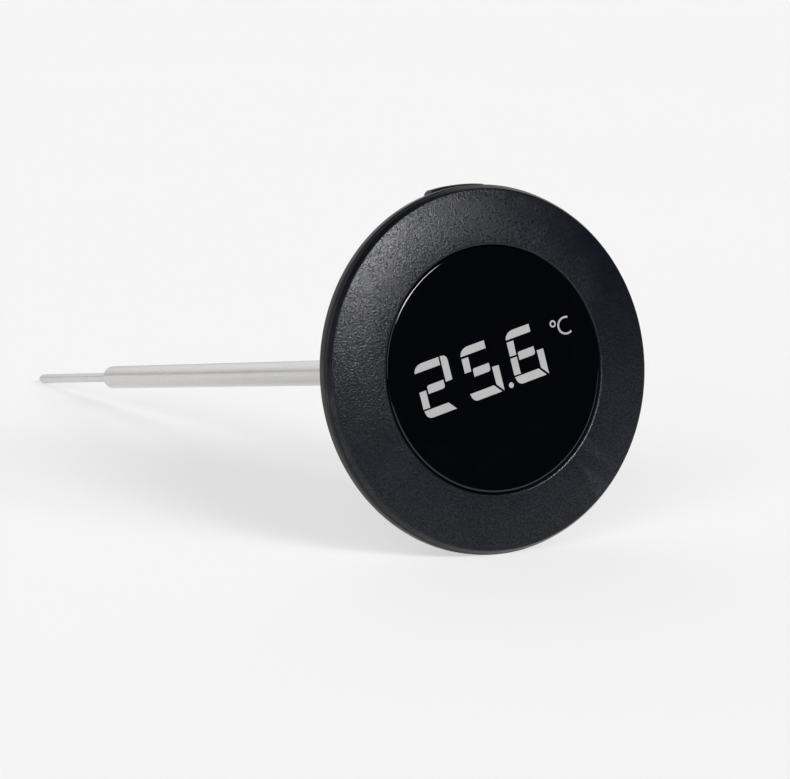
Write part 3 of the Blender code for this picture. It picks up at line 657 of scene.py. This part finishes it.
# =================================================================================================================
# the pieces inside keep their CAD shape and get their own materials
# =================================================================================================================
INSIDE = {
    "lens_adhesive_ring": FOAM, "lcd_panel": LCD, "light_guide": WHITE, "backlight_led": WHITE, "contact_strip_upper": RUBBER,
    "contact_strip_lower": RUBBER, "display_carrier": SMOOTH, "circuit_board": BOARD, "controller_chip": CHIP, "quartz_crystal": PLATED,
    "sensor_connector": WHITE, "switch_body": CHIP, "switch_plunger": RUBBER, "housing_seal": RUBBER, "coin_cell": PLATED,
    "cell_contact_negative": PLATED, "cell_contact_positive": PLATED, "battery_door_seal": RUBBER, "stem_seal": RUBBER,
    "stem_lock_washer": PLATED, "thermistor": BEAD, "sensor_lead_red": RED, "sensor_lead_white": PALE,
}
for node, mat in INSIDE.items():
    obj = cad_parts[node]
    for s in obj.material_slots:
        s.link = "OBJECT"
        s.material = mat

# =================================================================================================================
# stage
# =================================================================================================================
floor_mesh = bpy.data.meshes.new("floor")
floor_mesh.from_pydata([(-9, -9, 0), (9, -9, 0), (9, 9, 0), (-9, 9, 0)], [], [(0, 1, 2, 3)])
floor = bpy.data.objects.new("floor", floor_mesh)
scene.collection.objects.link(floor)
paper = Nodes("floor_paper", 0.6, 0.0, (0.40, 0.40, 0.40))
paper.b.inputs["Specular IOR Level"].default_value = 0.0
paper.b.inputs["Emission Color"].default_value = (1, 1, 1, 1)
paper.b.inputs["Emission Strength"].default_value = 0.548
floor_mesh.materials.append(paper.set(paper.mix(paper.range(paper.noise(3.0, 2.0), 0.3, 0.7, 0.0, 1.0), (0.398, 0.398, 0.400), (0.402, 0.402, 0.402))))

world = bpy.data.worlds.new("studio")
scene.world = world
world.use_nodes = True
wt = world.node_tree
for n in list(wt.nodes):
    wt.nodes.remove(n)


def wnew(kind, **values):
    n = wt.nodes.new(kind)
    for k, v in values.items():
        setattr(n, k, v)
    return n


coord = wnew("ShaderNodeTexCoord")
sep = wnew("ShaderNodeSeparateXYZ")
wt.links.new(coord.outputs["Generated"], sep.inputs[0])


def wrange(value, a, b, c, d):
    n = wnew("ShaderNodeMapRange", interpolation_type="SMOOTHSTEP")
    for k, v in (("From Min", a), ("From Max", b), ("To Min", c), ("To Max", d)):
        n.inputs[k].default_value = v
    wt.links.new(value, n.inputs["Value"])
    return n.outputs["Result"]


def wmath(op, a, b):
    n = wnew("ShaderNodeMath", operation=op)
    for i, v in enumerate((a, b)):
        if isinstance(v, (int, float)):
            n.inputs[i].default_value = v
        else:
            wt.links.new(v, n.inputs[i])
    return n.outputs[0]


# a bright wall behind the object and a dim room everywhere else
behind = wrange(sep.outputs["Y"], 0.30, 0.72, 0.0, 1.0)
slanted = wmath("SUBTRACT", sep.outputs["Z"], wmath("MULTIPLY", wmath("MAXIMUM", sep.outputs["X"], 0.0), 0.75))
below = wrange(slanted, 0.34, 0.60, 1.0, 0.0)
rising = wrange(sep.outputs["Z"], 0.02, 0.36, 0.50, 1.0)
level = wmath("ADD", 0.028, wmath("MULTIPLY", wmath("MULTIPLY", behind, below), wmath("MULTIPLY", rising, 1.09)))
path = wnew("ShaderNodeLightPath")
mixed = wmath("ADD", wmath("MULTIPLY", level, wmath("SUBTRACT", 1.0, path.outputs["Is Camera Ray"])), wmath("MULTIPLY", path.outputs["Is Camera Ray"], 0.93))
back = wnew("ShaderNodeBackground")
back.inputs["Color"].default_value = (1, 1, 1, 1)
wt.links.new(mixed, back.inputs["Strength"])
wout = wnew("ShaderNodeOutputWorld")
wt.links.new(back.outputs[0], wout.inputs[0])


def far_light(name, azimuth, elevation, spread, strength, glossy=True):
    """A soft light far away: azimuth from the front (-Y) towards +X, spread across in degrees."""
    data = bpy.data.lights.new(name, "SUN")
    data.energy, data.angle = strength, math.radians(spread)
    o = bpy.data.objects.new(name, data)
    scene.collection.objects.link(o)
    o.visible_glossy = glossy
    a, e = math.radians(azimuth), math.radians(elevation)
    o.rotation_euler = (-Vector((math.sin(a) * math.cos(e), -math.cos(a) * math.cos(e), math.sin(e)))).to_track_quat("-Z", "Y").to_euler()
    return o


far_light("key", 18.5, 21, 10, 0.95)
far_light("main_edge", 7, 24, 10, 0.45)
far_light("main", 1, 25, 17, 2.10, glossy=False)
far_light("fill", -47, 24, 40, 1.90)
far_light("back", 175, 48, 50, 0.40, glossy=False)

# ---- camera: a long lens from the front left, a little above ----------------------------------------------------
AZ, CAM_PITCH = math.radians(29.2), math.radians(9.65)
FOCAL_PX = 3000.0
forward = Vector((math.sin(AZ) * math.cos(CAM_PITCH), math.cos(AZ) * math.cos(CAM_PITCH), -math.sin(CAM_PITCH)))
right = Vector((math.cos(AZ), -math.sin(AZ), 0.0))
up = right.cross(forward)
cam_data = bpy.data.cameras.new("camera")
cam_data.sensor_width, cam_data.lens = 36.0, FOCAL_PX / 790 * 36.0
cam_data.clip_start, cam_data.clip_end = 0.01, 50.0
cam = bpy.data.objects.new("camera", cam_data)
scene.collection.objects.link(cam)
where = HEAD - (13.2 * right + 2.69 * up + 403.75 * forward) * MM
cam.matrix_world = Matrix((
    (right.x, up.x, -forward.x, where.x), (right.y, up.y, -forward.y, where.y), (right.z, up.z, -forward.z, where.z), (0, 0, 0, 1)))
scene.camera = cam

bpy.context.view_layer.update()
